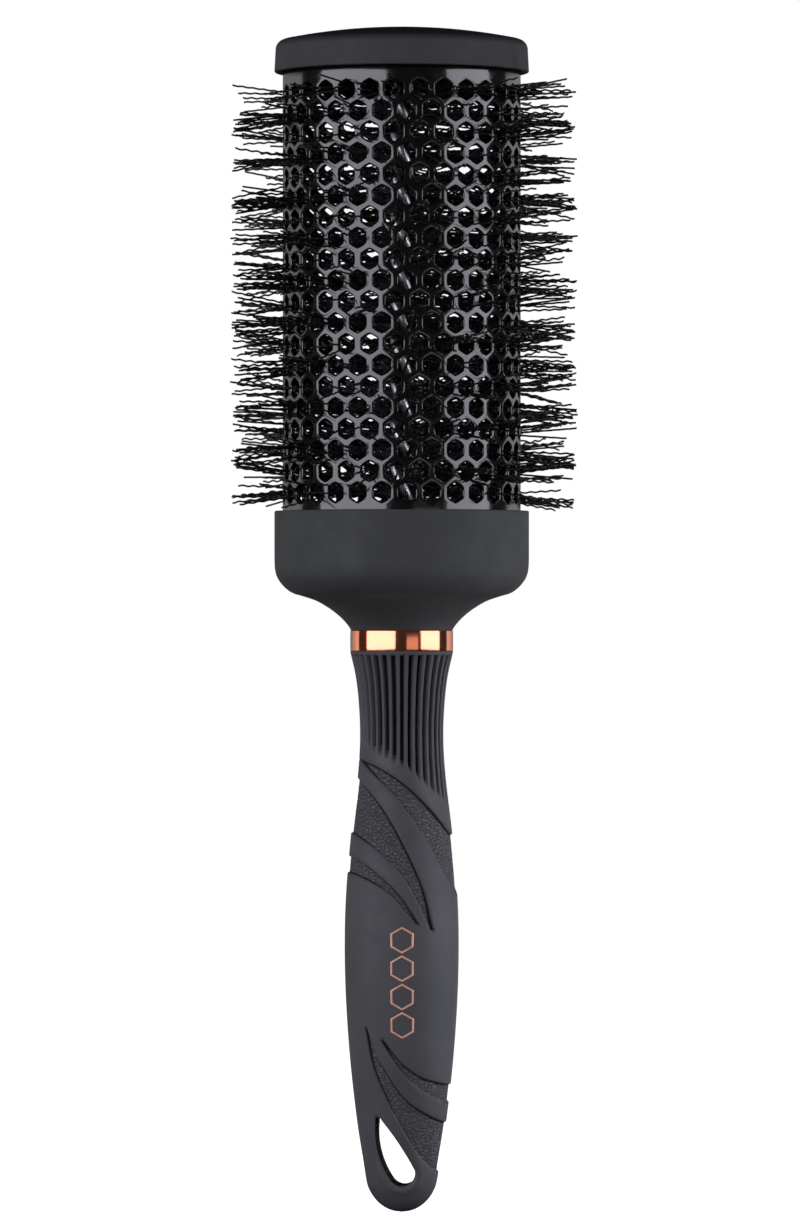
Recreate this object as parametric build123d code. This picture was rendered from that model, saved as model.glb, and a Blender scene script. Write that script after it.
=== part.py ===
from build123d import *
import math
import os

os.makedirs("parts", exist_ok=True)

# A round barrel brush, standing on the end of its handle.  Z is the brush's axis and points
# up to the end cap.  The handle's front face looks along -Y, and the hanging eye runs along Y.
# The origin is the lowest point of the handle, on the axis.  Millimetres.

# ---- Driving dimensions -------------------------------------------------------------------
clearance = 0.05                # between turned or moulded pieces that slide together

barrel_diameter = 53.0
barrel_wall = 1.1
hole_rows = 20
holes_per_row = 30
hole_across_flats = 4.0
hole_row_step = 4.663
top_row_z = 248.4
hole_phase = 1.0                # degrees from the front to the first hole of the top row

brush_height = 263.6
cap_diameter = 56.7
cap_top_diameter = 56.2
cap_skirt_z = 253.7
cap_shoulder_z = 261.0
cap_corner = 2.0
cap_ceiling_z = 258.4
cap_recess_radius = 18.0        # the thinner middle of the cap, seen from below
cap_recess_z = 261.4

collar_diameter = 56.7
collar_rim_z = 156.1
collar_floor_z = 149.0
collar_waist_z = 129.5
collar_waist_radius = 11.35
spigot_radius = 8.5
spigot_end_z = 121.0

plug_disc_z = 155.5             # top of the base plug's disc
plug_hub_z = 158.5              # top of the base plug's hub
cap_plug_disc_z = 254.6         # underside of the cap plug's disc
cap_plug_hub_z = 252.8          # underside of the cap plug's hub
hub_radius = 5.0

ring_diameter = 22.95
ring_edge_round = 0.2
handle_top_z = 124.9
skin_thickness = 0.7            # soft grip moulded over the hard core
stem_radius = 3.0
stem_length = 64.4

wire_radius = 1.15
wire_pitch = 18.5               # one full turn, left-handed
wire_start_turn = 91.0          # degrees from +X to the first wire at its lower end
filament_radius = 0.2
filament_step = 0.608           # along the core
filament_count = 150
filaments_per_bundle = 10
filament_bend = 4.0             # from the core's axis to where a filament's bend ends
bristle_radius = 38.5
hole_spread = 0.45              # share of a filament's offset from its hole that it keeps

flute_count = 34
flute_depth = 0.5
flute_top_z = 123.9
flute_phase = 5.1               # degrees from the front to the first flute

eye_x = 0.35                    # centre of the eye's round lower end
eye_z = 9.0
eye_radius = 3.0

hexagon_count = 4               # the ornament's column, from its lowest hexagon up
hexagon_radius = 3.0
hexagon_step = 6.3
hexagon_x = 0.9
first_hexagon_z = 42.0
stroke_width = 0.44             # foil lines of the ornament
foil_thickness = 0.08

# ---- Derived dimensions -------------------------------------------------------------------
barrel_radius = barrel_diameter / 2
barrel_bore = barrel_radius - barrel_wall
barrel_top_z = cap_ceiling_z - 1.2
wire_offset = wire_radius + filament_radius + 0.04
wire_socket_radius = wire_offset + wire_radius + clearance
stem_top_z = collar_floor_z + 3.4
wire_end_gap = 0.8              # room in each socket for the wires' slanted ends
wire_bottom_z = stem_top_z + wire_end_gap
wire_top_z = 255.0
top_filament_z = top_row_z + 1.2
beyond = 20.0                   # a reach past the handle's surface, for cutting tools

# The handle's half width (X) and half depth (Y) at each height, above its rounded end.
handle_sections = [
    (1.5, 4.3, 2.9),
    (4.9, 7.15, 4.8),
    (11.6, 8.6, 6.0),
    (20.5, 10.0, 7.3),
    (33.9, 11.5, 9.3),
    (47.3, 12.43, 10.5),
    (59.5, 12.72, 10.9),
    (71.0, 12.4, 10.75),
    (84.1, 11.3, 10.3),
    (96.4, 9.85, 9.7),
    (105.0, 9.28, 9.28),
    (112.5, 9.5, 9.5),
    (119.0, 10.2, 10.2),
    (handle_top_z, 11.54, 11.54),
]


# ---- Handle -------------------------------------------------------------------------------
def handle_form(inset):
    """The handle's outer form, drawn in by an even inset: a loft of ellipses from a point."""
    rings = [Vertex(0, 0, inset)]
    for height, half_width, half_depth in handle_sections:
        height = max(height, 1.5 + inset)
        level = Plane.XY.offset(height)
        rings.append(Face(Wire(Edge.make_ellipse(half_width - inset, half_depth - inset, level))))
    return loft(rings)


def outline_prism(*edges):
    """A closed outline in the XZ plane, carried right through the handle along Y."""
    outline = Face(Wire(list(edges)))
    return extrude(outline, amount=beyond, dir=(0, 1, 0), both=True)


def side_curve(*points):
    """A smooth edge of a window, through (x, z) points."""
    return Edge.make_spline([Vector(x, 0, z) for x, z in points])


def straight(start, end):
    return Edge.make_line(Vector(start[0], 0, start[1]), Vector(end[0], 0, end[1]))


def windows():
    """The five recessed windows in the grip.  Three sweep down from the neck, two up from the
    eye.  Each runs out round the handle's side, from the front to the matching back."""
    first_tip, second_tip, third_tip = (-9.3, 100.9), (7.8, 63.2), (4.4, 64.4)
    fourth_tip, fifth_tip = (-7.3, 40.8), (-3.7, 38.7)
    side = 14
    return [
        outline_prism(
            side_curve(first_tip, (-4.2, 98.8), (3.8, 93.2), (11.3, 84.0), (side, 80.0)),
            straight((side, 80.0), (side, 67.6)),
            side_curve((side, 67.6), (10.1, 75.6), (5.0, 85.0), (-1.7, 93.9), first_tip),
        ),
        outline_prism(
            side_curve((-side, 100.0), (-6.9, 93.8), (-1.3, 86.4), (2.9, 78.6), second_tip),
            side_curve(second_tip, (5.4, 67.7), (0.0, 76.4), (-6.2, 81.8), (-side, 86.0)),
            straight((-side, 86.0), (-side, 100.0)),
        ),
        outline_prism(
            side_curve((-side, 79.8), (-6.1, 76.7), (-1.3, 72.5), third_tip),
            side_curve(third_tip, (-2.0, 71.3), (-8.2, 74.6), (-side, 76.2)),
            straight((-side, 76.2), (-side, 79.8)),
        ),
        outline_prism(
            side_curve(fourth_tip, (-3.6, 32.6), (1.3, 25.6), (7.5, 21.2), (side, 18.4)),
            straight((side, 18.4), (side, 7.2)),
            side_curve((side, 7.2), (8.1, 9.3), (4.2, 13.3), (-1.3, 22.5), fourth_tip),
        ),
        outline_prism(
            side_curve(fifth_tip, (-0.1, 34.2), (5.7, 30.0), (side, 28.3)),
            straight((side, 28.3), (side, 24.2)),
            side_curve((side, 24.2), (6.6, 26.5), (1.0, 31.2), fifth_tip),
        ),
    ]


def eye_prism(grow=0.0):
    """The hanging eye: a slanted drop whose round lower end takes the hook or peg."""
    right, low, left = eye_point(10), eye_point(-90), eye_point(212)
    apex_left, apex, apex_right = (-5.3, 20.3), (-4.85, 21.4), (-4.0, 20.8)
    edges = [
        arc(right, low, left),
        arc(left, (-4.75, 13.0), apex_left),
        arc(apex_left, apex, apex_right),
        arc(apex_right, (0.15, 15.1), right),
    ]
    outline = Face(Wire(edges))
    if grow:
        outline = offset(outline, amount=grow).faces()[0]
    return extrude(outline, amount=beyond, dir=(0, 1, 0), both=True)


def eye_point(degrees):
    angle = math.radians(degrees)
    return (eye_x + eye_radius * math.cos(angle), eye_z + eye_radius * math.sin(angle))


def arc(start, middle, end):
    return Edge.make_three_point_arc(*(Vector(x, 0, z) for x, z in (start, middle, end)))


def flute_end_z(across):
    """Where a flute fades out, at a distance across from the axis: the ends fall on a slant."""
    return 99.6 - 0.62 * across - 0.022 * across**2


def neck_radius(height):
    """The handle's radius on its round neck, between its listed sections."""
    above = [s for s in handle_sections if s[0] >= height][0]
    below = [s for s in handle_sections if s[0] <= height][-1]
    share = (height - below[0]) / max(above[0] - below[0], 0.001)
    return below[1] + share * (above[1] - below[1])


def flutes():
    """Fine grooves round the neck, each a thin wedge down to the flute's own lower end."""
    pitch = 360 / flute_count
    cutters = []
    for number in range(flute_count):
        turn = number * pitch + flute_phase
        end_z = flute_end_z(neck_radius(100) * math.sin(math.radians(turn)))
        heights = [end_z + share * (flute_top_z - end_z) for share in (0, 0.25, 0.5, 0.75, 1)]
        floor = [Vector(neck_radius(height) - flute_depth, 0, height) for height in heights]
        top_out = Vector(beyond, 0, flute_top_z)
        low_out = Vector(beyond, 0, end_z)
        edges = [
            Edge.make_spline(floor),
            Edge.make_line(floor[-1], top_out),
            Edge.make_line(top_out, low_out),
            Edge.make_line(low_out, floor[0]),
        ]
        groove = revolve(Face(Wire(edges)), Axis.Z, revolution_arc=pitch / 2)
        cutters.append(Rot(0, 0, turn - 90 - pitch / 4) * groove)
    return cutters


def handle_core():
    """The hard core: it takes the stem and the collar's spigot, and shows in the windows."""
    core = handle_form(skin_thickness + clearance) - eye_prism(skin_thickness)
    core -= Pos(0, 0, spigot_end_z - clearance) * upright_cylinder(spigot_radius + clearance, 10)
    stem_room = 0.5
    core -= Pos(0, 0, stem_top_z - stem_length - stem_room) * upright_cylinder(
        stem_radius + clearance, stem_length
    )
    cut_top = Pos(0, 0, handle_top_z) * upright_cylinder(beyond, beyond)
    return core - cut_top


def handle_grip():
    """The soft grip: a thin skin round the core, with windows, flutes and a lined eye."""
    hollow = handle_form(skin_thickness) - eye_prism(skin_thickness)
    grip = handle_form(0) - hollow - eye_prism()
    mouth_radius = neck_radius(spigot_end_z) - skin_thickness
    grip -= Pos(0, 0, spigot_end_z) * upright_cylinder(mouth_radius, beyond)
    for window in windows():
        grip -= window
    return grip.cut(*flutes())


def upright_cylinder(radius, height):
    return Cylinder(radius, height, align=(Align.CENTER, Align.CENTER, Align.MIN))


def neck_stem():
    """The steel rod that joins the handle's core to the plug inside the barrel."""
    rod = Pos(0, 0, stem_top_z - stem_length) * upright_cylinder(stem_radius, stem_length)
    return chamfer(rod.edges().filter_by(GeomType.CIRCLE), 0.5)


def ornament():
    """A column of foil hexagons on the front panel, a hair above the grip's surface."""
    line_inset = stroke_width / math.cos(math.pi / 6)
    foil = []
    sheet = handle_form(-clearance / 2 - foil_thickness) - handle_form(-clearance / 2)
    for number in range(hexagon_count):
        centre = (hexagon_x, -beyond, first_hexagon_z + number * hexagon_step)
        middle = Plane(centre, x_dir=(1, 0, 0), z_dir=(0, 1, 0))
        outer = RegularPolygon(hexagon_radius, 6, rotation=30)
        inner = RegularPolygon(hexagon_radius - line_inset, 6, rotation=30)
        ring = extrude(middle * (outer - inner), amount=beyond)
        foil += (sheet & ring).solids()
    return foil


# ---- Collar and trim ring -----------------------------------------------------------------
def turned(*edges):
    """A solid of revolution about Z from a closed outline in the XZ half plane."""
    return revolve(Face(Wire(list(edges))), Axis.Z)


def turned_steps(*points):
    """A solid of revolution about Z with straight sides, through (radius, z) points."""
    return revolve(make_face(Polyline([(r, 0, z) for r, z in points], close=True)), Axis.Z)


def collar_cup():
    """The cup that holds the barrel's lower end and sweeps in to the handle's neck."""
    rim = collar_diameter / 2
    bore = barrel_radius + clearance
    round_start, crease = (rim, 144.0), (24.4, 137.75)
    waist = (collar_waist_radius, collar_waist_z)
    outline = [
        (waist, (spigot_radius, collar_waist_z)),
        ((spigot_radius, collar_waist_z), (spigot_radius, spigot_end_z)),
        ((spigot_radius, spigot_end_z), (stem_radius + clearance, spigot_end_z)),
        ((stem_radius + clearance, spigot_end_z), (stem_radius + clearance, collar_floor_z)),
        ((stem_radius + clearance, collar_floor_z), (bore, collar_floor_z)),
        ((bore, collar_floor_z), (bore, collar_rim_z)),
        ((bore, collar_rim_z), (rim, collar_rim_z)),
        ((rim, collar_rim_z), round_start),
    ]
    return turned(
        *[straight(start, end) for start, end in outline],
        arc(round_start, (27.35, 140.65), crease),
        side_curve(crease, (18.86, 135.97), (14.67, 133.3), waist),
    )


def trim_ring():
    ring = turned_steps(
        (spigot_radius + clearance, handle_top_z),
        (ring_diameter / 2, handle_top_z),
        (ring_diameter / 2, collar_waist_z),
        (spigot_radius + clearance, collar_waist_z),
    )
    outer_edges = ring.edges().filter_by(GeomType.CIRCLE).filter_by(
        lambda edge: edge.radius > spigot_radius + 1
    )
    return fillet(outer_edges, ring_edge_round)


# ---- Barrel, its plugs and the end cap ------------------------------------------------------
def barrel():
    """The aluminium tube, with staggered rows of hexagonal holes that stand on a corner."""
    tube = turned_steps(
        (barrel_bore, collar_floor_z),
        (barrel_radius, collar_floor_z),
        (barrel_radius, barrel_top_z),
        (barrel_bore, barrel_top_z),
    )
    corner_radius = hole_across_flats / math.sqrt(3)
    punch = Plane.YZ * RegularPolygon(corner_radius, 6, rotation=30)
    punch = Pos(barrel_bore - 1, 0, 0) * extrude(punch, amount=barrel_wall + 2)
    punches = []
    for row in range(hole_rows):
        for column in range(holes_per_row):
            turn = hole_angle(row, column) - 90
            punches.append(Rot(0, 0, turn) * Pos(0, 0, hole_z(row)) * punch)
    return tube.cut(*punches)


def hole_z(row):
    return top_row_z - row * hole_row_step


def hole_angle(row, column):
    """Degrees round from the front; every second row is shifted by half a hole pitch."""
    pitch = 360 / holes_per_row
    return hole_phase + (column + 0.5 * (row % 2)) * pitch


def base_plug():
    """The moulded hub in the barrel's lower end, with sockets for the stem and the core."""
    return turned_steps(
        (stem_radius + clearance, collar_floor_z),
        (barrel_bore - clearance, collar_floor_z),
        (barrel_bore - clearance, plug_disc_z),
        (hub_radius + 1, plug_disc_z),
        (hub_radius, plug_hub_z),
        (wire_socket_radius, plug_hub_z),
        (wire_socket_radius, stem_top_z + 0.1),
        (stem_radius + clearance, stem_top_z + 0.1),
    )


def cap_plug():
    """The moulded disc in the barrel's upper end; its socket holds the tip of the core."""
    recess_z = 256.8
    return turned_steps(
        (0, recess_z),
        (0, wire_top_z + wire_end_gap),
        (wire_socket_radius, wire_top_z + wire_end_gap),
        (wire_socket_radius, cap_plug_hub_z),
        (hub_radius, cap_plug_hub_z),
        (hub_radius + 1, cap_plug_disc_z),
        (barrel_bore - clearance, cap_plug_disc_z),
        (barrel_bore - clearance, barrel_top_z),
        (barrel_radius - 0.3, barrel_top_z),
        (barrel_radius - 0.3, cap_ceiling_z - clearance),
        (20.0, cap_ceiling_z - clearance),
        (20.0, recess_z),
    )


def end_cap():
    """The domed cap: a skirt that overhangs the barrel, a rounded shoulder and a low crown."""
    skirt = cap_diameter / 2
    top = cap_top_diameter / 2
    bore = barrel_radius + clearance
    shoulder = cap_shoulder_z - cap_corner
    crown_edge = (top - cap_corner, cap_shoulder_z)
    corner_turn = cap_corner * math.cos(math.pi / 4)
    corner_middle = (top - cap_corner + corner_turn, shoulder + corner_turn)
    outline = [
        ((0, brush_height), (0, cap_recess_z)),
        ((0, cap_recess_z), (cap_recess_radius, cap_recess_z)),
        ((cap_recess_radius, cap_recess_z), (cap_recess_radius, cap_ceiling_z)),
        ((cap_recess_radius, cap_ceiling_z), (bore, cap_ceiling_z)),
        ((bore, cap_ceiling_z), (bore, cap_skirt_z)),
        ((bore, cap_skirt_z), (skirt, cap_skirt_z)),
        ((skirt, cap_skirt_z), (top, shoulder)),
    ]
    return turned(
        *[straight(start, end) for start, end in outline],
        arc((top, shoulder), corner_middle, crown_edge),
        crown_arc(crown_edge),
    )


def crown_arc(crown_edge):
    """The cap's low dome: a circle centred on the axis, from the shoulder to the apex."""
    half_chord, edge_z = crown_edge
    rise = brush_height - edge_z
    radius = (half_chord**2 + rise**2) / (2 * rise)
    centre = Plane((0, 0, brush_height - radius), x_dir=(1, 0, 0), z_dir=(0, -1, 0))
    edge_angle = math.degrees(math.acos(half_chord / radius))
    return Edge.make_circle(radius, centre, start_angle=edge_angle, end_angle=90)


# ---- Twisted core and bristles --------------------------------------------------------------
def core_wire(phase):
    """One of the two wires twisted together, left-handed, to grip the filaments."""
    length = wire_top_z - wire_bottom_z
    path = Helix(wire_pitch, length, wire_offset, lefthand=True)
    section = Plane(path @ 0, z_dir=path % 0) * Circle(wire_radius)
    wire = sweep(section, path, is_frenet=True)
    return Rot(0, 0, core_turn(wire_bottom_z) + phase) * Pos(0, 0, wire_bottom_z) * wire


def core_turn(height):
    """Degrees round from +X of the first wire's centre: it falls as the core goes up."""
    return wire_start_turn - 360 * (height - wire_bottom_z) / wire_pitch


def nearest_hole(turn, height):
    """The hole nearest to a direction and height, as its own direction and height."""
    pitch = 360 / holes_per_row
    best = None
    middle_row = round((top_row_z - height) / hole_row_step)
    for row in (middle_row - 1, middle_row, middle_row + 1):
        if 0 <= row < hole_rows:
            column = round((turn + 90 - hole_angle(row, 0)) / pitch)
            hole_turn = hole_angle(row, column) - 90
            across = math.radians(hole_turn - turn) * barrel_radius
            distance = math.hypot(across, hole_z(row) - height)
            if best is None or distance < best[0]:
                best = (distance, hole_turn, hole_z(row))
    return best[1], best[2]


def filament_tip(turn, height, number):
    """A filament's end: it leans from the core towards the middle of its nearest hole."""
    hole_turn, hole_height = nearest_hole(turn, height)
    exit_turn = math.radians(hole_turn + hole_spread * (turn - hole_turn))
    slope = (1 - hole_spread) * (hole_height - height) / barrel_radius
    uneven = 0.5 - 0.5 * math.cos(2.4 * number)     # no two neighbours end level
    reach = bristle_radius - uneven
    return (reach * math.cos(exit_turn), reach * math.sin(exit_turn), height + slope * reach)


def filament(number):
    """One nylon filament, gripped at its middle between the two wires."""
    height = top_filament_z - number * filament_step
    turn = core_turn(height) + 90
    first_tip = Vector(*filament_tip(turn, height, number))
    second_tip = Vector(*filament_tip(turn + 180, height, number + 0.5))
    middle = Vector(0, 0, height)
    bend = 180 - (first_tip - middle).get_angle(second_tip - middle)
    if bend < 0.2:
        path = Edge.make_line(first_tip, second_tip)
    else:
        bend_radius = filament_bend / math.tan(math.radians(bend / 2))
        path = FilletPolyline(first_tip, middle, second_tip, radius=bend_radius)
    section = Plane(path @ 0, z_dir=path % 0) * Circle(filament_radius)
    return sweep(section, path)


def bristle_bundle(first):
    filaments = [filament(number) for number in range(first, first + filaments_per_bundle)]
    return [solid for one in filaments for solid in one.solids()]


# ---- Write one STEP file per node -----------------------------------------------------------
def write(name, shape):
    if isinstance(shape, list):
        shape = Compound(children=shape)
    shape.label = name
    export_step(shape, f"parts/{name}.step")


def main():
    write("end_cap", end_cap())
    write("cap_plug", cap_plug())
    write("barrel", barrel())
    write("base_plug", base_plug())
    write("core_wire_a", core_wire(0))
    write("core_wire_b", core_wire(180))
    write("collar_cup", collar_cup())
    write("trim_ring", trim_ring())
    write("neck_stem", neck_stem())
    write("handle_core", handle_core())
    write("handle_grip", handle_grip())
    write("panel_ornament", ornament())
    for bundle in range(filament_count // filaments_per_bundle):
        write(f"bristles_{bundle + 1:02d}", bristle_bundle(bundle * filaments_per_bundle))


if __name__ == "__main__":
    main()
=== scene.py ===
import math
from types import SimpleNamespace

import bmesh
import bpy
import numpy as np
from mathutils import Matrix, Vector


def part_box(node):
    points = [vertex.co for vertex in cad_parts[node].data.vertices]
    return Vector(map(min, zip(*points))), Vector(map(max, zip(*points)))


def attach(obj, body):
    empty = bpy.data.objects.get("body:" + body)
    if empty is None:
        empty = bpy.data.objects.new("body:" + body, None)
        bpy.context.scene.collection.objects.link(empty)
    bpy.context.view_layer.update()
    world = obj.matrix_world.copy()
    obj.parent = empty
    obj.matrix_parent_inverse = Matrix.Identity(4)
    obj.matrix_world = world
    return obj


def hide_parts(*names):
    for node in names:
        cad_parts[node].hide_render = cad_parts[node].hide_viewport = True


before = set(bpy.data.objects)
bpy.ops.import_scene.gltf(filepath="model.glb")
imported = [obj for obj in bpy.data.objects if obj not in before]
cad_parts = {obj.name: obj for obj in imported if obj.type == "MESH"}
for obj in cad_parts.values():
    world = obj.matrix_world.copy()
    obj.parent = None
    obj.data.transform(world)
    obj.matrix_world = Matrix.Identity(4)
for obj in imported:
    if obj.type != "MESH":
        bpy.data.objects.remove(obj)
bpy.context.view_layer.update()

# The brush's axis is Z and its front looks along -Y, as in the frame.  Lengths here are in
# millimetres, and build_mesh turns them into metres.
MM = 0.001
rng = np.random.default_rng(7)


def node_box(node):
    """A CAD node's lowest and highest corners, in millimetres."""
    low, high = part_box(node)
    return np.array(low) / MM, np.array(high) / MM


# ---- Sizes ----------------------------------------------------------------------------------
barrel_low, barrel_high = node_box("barrel")
cap_low, cap_high = node_box("end_cap")
collar_low, collar_high = node_box("collar_cup")
ring_low, ring_high = node_box("trim_ring")
_, grip_high = node_box("handle_grip")
core_low, _ = node_box("core_wire_a")

barrel_radius = barrel_high[0]
barrel_wall = 1.1
socket_radius = barrel_radius + 0.05
socket_depth = 6.0              # how much of the collar's socket is modelled
hole_rows = 20
holes_per_row = 30
hole_flats = 4.0
hole_row_step = 4.663
top_row_z = 248.4
hole_phase = 1.0
rim_round = 0.32                # the soft edge of each hole

cap_radius = cap_high[0]
cap_top_radius = cap_radius - 0.25
cap_edge_z = cap_high[2] - 2.6
cap_ceiling_z = cap_edge_z - 2.6
collar_radius = collar_high[0]
waist_radius = 11.4             # the collar's lower edge, at the ring
spigot_radius = 8.5             # the collar's foot, inside the ring and the grip
stem_socket_radius = 3.1
ring_radius = ring_high[0]
handle_top = grip_high[2]

skin = 0.5                      # depth of the windows in the grip
dark_depth = 0.85               # what lies deeper than this in the handle is in shadow
lip_width = 0.6                 # the rounded border of each window
flute_count = 34
flute_phase = 5.1               # degrees from the front to the first flute
flute_depth = 1.3
flute_top = handle_top - 1.0

wire_pitch = 18.5
wire_start_turn = 91.0          # the first wire's direction at its lower end, in degrees
filament_count = 720
filament_radius = 0.225
bristle_radius = 38.5
right_trim = 1.0                # how much longer they are cut on the right
crimp_length = 2.4
crimp_depth = (0.08, 0.19)      # least and most
aim_noise = (0.18, 1.5)         # how far filaments stray from the wires' gap: radians, millimetres
hole_noise = (0.6, 0.9)         # and from the middle of their tuft, across and up
hole_reach = 1.7                # the furthest from its hole's middle that a filament passes
steepest_lean = 0.22
bundle_names = sorted(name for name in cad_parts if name.startswith("bristles_"))


# ---- Meshes ---------------------------------------------------------------------------------
def build_mesh(name, points, faces, materials, face_materials=None, smooth=True):
    """A mesh object from points in millimetres, in the row frame."""
    mesh = bpy.data.meshes.new(name)
    mesh.from_pydata((np.asarray(points) * MM).tolist(), [], faces)
    for material in materials:
        mesh.materials.append(material)
    if face_materials is not None:
        mesh.polygons.foreach_set("material_index", face_materials)
    mesh.polygons.foreach_set("use_smooth", [smooth] * len(mesh.polygons))
    mesh.update()
    piece = bpy.data.objects.new(name, mesh)
    bpy.context.scene.collection.objects.link(piece)
    return piece


def ring_faces(rows, columns, first=0):
    """Quads between closed rings of points, one ring after another."""
    row = np.arange(rows - 1)[:, None] * columns
    column = np.arange(columns)[None, :]
    after = (column + 1) % columns
    quads = np.stack([row + column, row + after, row + columns + after, row + columns + column], -1)
    return (quads.reshape(-1, 4) + first).tolist()


def loop_faces(rows, columns):
    """Quads between closed rings of points, with the last ring joined to the first."""
    total = rows * columns
    return [[k % total for k in face] for face in ring_faces(rows + 1, columns)]


def tube_faces(rows, sides):
    """Quads along a tube, then a face over each of its two ends."""
    last = (rows - 1) * sides
    return ring_faces(rows, sides) + [list(range(sides))[::-1], [last + k for k in range(sides)]]


def join_parts(parts):
    """Joins (points, faces) pairs into one pair."""
    points, faces, count = [], [], 0
    for part_points, part_faces in parts:
        points.append(part_points)
        faces += [[k + count for k in face] for face in part_faces]
        count += len(part_points)
    return np.concatenate(points), faces


def clean_mesh(piece, merge=False):
    """Merges points that meet, if asked, drops what no face uses, and turns faces outwards."""
    mesh = bmesh.new()
    mesh.from_mesh(piece.data)
    if merge:
        bmesh.ops.remove_doubles(mesh, verts=mesh.verts, dist=0.01 * MM)
    loose = [edge for edge in mesh.edges if not edge.link_faces]
    bmesh.ops.delete(mesh, geom=loose, context="EDGES")
    loose = [vertex for vertex in mesh.verts if not vertex.link_faces]
    bmesh.ops.delete(mesh, geom=loose, context="VERTS")
    bmesh.ops.recalc_face_normals(mesh, faces=mesh.faces)
    mesh.to_mesh(piece.data)
    mesh.free()


def lathe(name, profile, material, segments=256):
    """A turned piece from its closed profile of (radius, z) points.

    Points almost on the axis merge there, so a solid middle has no hole."""
    turn = np.arange(segments) * (2 * math.pi / segments)
    rings = [
        np.stack([radius * np.cos(turn), radius * np.sin(turn), np.full(segments, height)], -1)
        for radius, height in profile
    ]
    piece = build_mesh(name, np.concatenate(rings), loop_faces(len(rings), segments), [material])
    clean_mesh(piece, merge=True)
    return piece


def finish_piece(piece, slot, *nodes):
    """Sets a new piece to ride on the root and hides the CAD nodes it stands for; slot is not used."""
    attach(piece, "root")
    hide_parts(*nodes)
    return piece


def rounded(corner, radius, start_degrees, end_degrees, steps=6):
    """Points of a rounded corner about a centre, as (radius, z) pairs."""
    turns = np.radians(np.linspace(start_degrees, end_degrees, steps + 1))
    return [(corner[0] + radius * math.cos(t), corner[1] + radius * math.sin(t)) for t in turns]


def smooth_line(knots, steps=8):
    """A smooth curve through points (a Catmull-Rom spline), as an array."""
    knots = np.asarray(knots, float)
    ends = np.vstack([2 * knots[0] - knots[1], knots, 2 * knots[-1] - knots[-2]])
    t = np.linspace(0, 1, steps, endpoint=False)[:, None]
    parts = []
    for a, b, c, d in zip(ends, ends[1:], ends[2:], ends[3:]):
        curve = 2 * b + (c - a) * t + (2 * a - 5 * b + 4 * c - d) * t**2
        parts.append(0.5 * (curve + (3 * b - a - 3 * c + d) * t**3))
    return np.vstack([*parts, knots[-1:]])


def smoothstep(low, high, value):
    """0 up to low, 1 from high on, and a smooth rise between them."""
    t = np.clip((value - low) / (high - low), 0, 1)
    return t * t * (3 - 2 * t)


# ---- Materials ------------------------------------------------------------------------------
def new_material(name):
    material = bpy.data.materials.new(name)
    material.use_nodes = True
    return material, material.node_tree, material.node_tree.nodes["Principled BSDF"]


def add_node(tree, kind, **values):
    node = tree.nodes.new(kind)
    for key, value in values.items():
        if key in node.inputs:
            node.inputs[key].default_value = value
        else:
            setattr(node, key, value)
    return node


def set_sockets(node, values):
    for socket, value in values.items():
        node.inputs[socket].default_value = value


def position(tree):
    """The surface's position in the row frame, in metres."""
    return add_node(tree, "ShaderNodeTexCoord").outputs["Object"]


def combine(tree, operation, *values):
    """A math node's result from other nodes' outputs."""
    node = add_node(tree, "ShaderNodeMath", operation=operation)
    for k, value in enumerate(values):
        tree.links.new(value, node.inputs[k])
    return node.outputs["Value"]


def noise(tree, scale, detail=3.0, roughness=0.5, stretch=(1, 1, 1)):
    """A noise texture in the row frame; scale is in features per metre."""
    mapping = add_node(tree, "ShaderNodeMapping", Scale=stretch)
    texture = add_node(tree, "ShaderNodeTexNoise", Scale=scale, Detail=detail, Roughness=roughness)
    tree.links.new(position(tree), mapping.inputs["Vector"])
    tree.links.new(mapping.outputs["Vector"], texture.inputs["Vector"])
    return texture.outputs["Fac"]


def spread(tree, factor, low, high, start=0.35, end=0.65):
    """Carries a value from the range start to end onto the range low to high."""
    span = add_node(tree, "ShaderNodeMapRange")
    set_sockets(span, {"From Min": start, "From Max": end, "To Min": low, "To Max": high})
    tree.links.new(factor, span.inputs["Value"])
    return span.outputs["Result"]


def two_tone(tree, factor, first, second):
    """A colour between two, by a 0 to 1 pattern."""
    ramp = add_node(tree, "ShaderNodeValToRGB")
    ramp.color_ramp.elements[0].position = 0.3
    ramp.color_ramp.elements[0].color = (*first, 1)
    ramp.color_ramp.elements[1].position = 0.7
    ramp.color_ramp.elements[1].color = (*second, 1)
    tree.links.new(factor, ramp.inputs["Fac"])
    return ramp.outputs["Color"]


def add_bump(tree, shader, height, strength, distance):
    bump = add_node(tree, "ShaderNodeBump", Strength=strength, Distance=distance)
    tree.links.new(height, bump.inputs["Height"])
    tree.links.new(bump.outputs["Normal"], shader.inputs["Normal"])


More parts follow.
